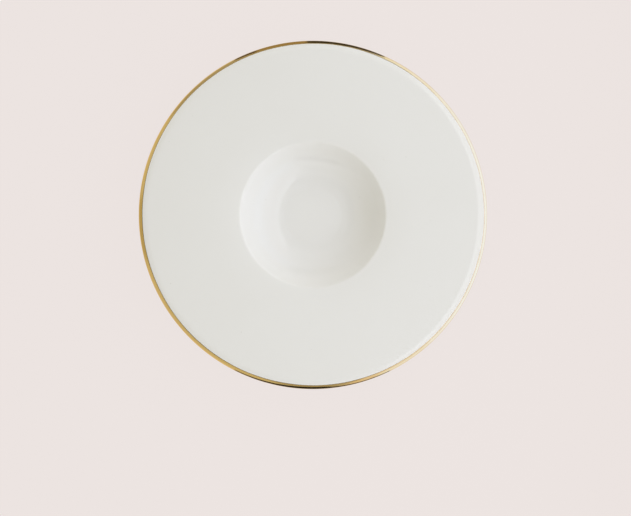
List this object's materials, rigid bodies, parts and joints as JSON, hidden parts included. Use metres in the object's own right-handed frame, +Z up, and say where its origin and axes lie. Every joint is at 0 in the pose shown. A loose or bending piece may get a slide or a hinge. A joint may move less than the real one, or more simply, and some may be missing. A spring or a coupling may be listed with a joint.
{
  "type": "rimmed soup plate",
  "caption": "Round soup plate with a wide, nearly flat rim, a small deep well, a rounded gilded lip and a foot ring.",
  "frame": {"origin": "centre of the foot ring, on the surface that the plate stands on", "axes": "+Z up along the plate's axis of revolution, out of the well; X and Y are any two directions across it"},
  "size_m": [0.28, 0.28, 0.0378],
  "materials": {
    "porcelain": "bare fired porcelain, matt, seen only on the edge of the foot",
    "glaze": "clear glossy glaze over white porcelain",
    "gold": "burnished liquid gold, fired on the glaze"
  },
  "bodies": {
    "root": {"porcelain_body": "porcelain", "glaze_coat": "glaze", "foot_recess_glaze": "glaze", "gold_band": "gold"}
  },
  "joints": []
}
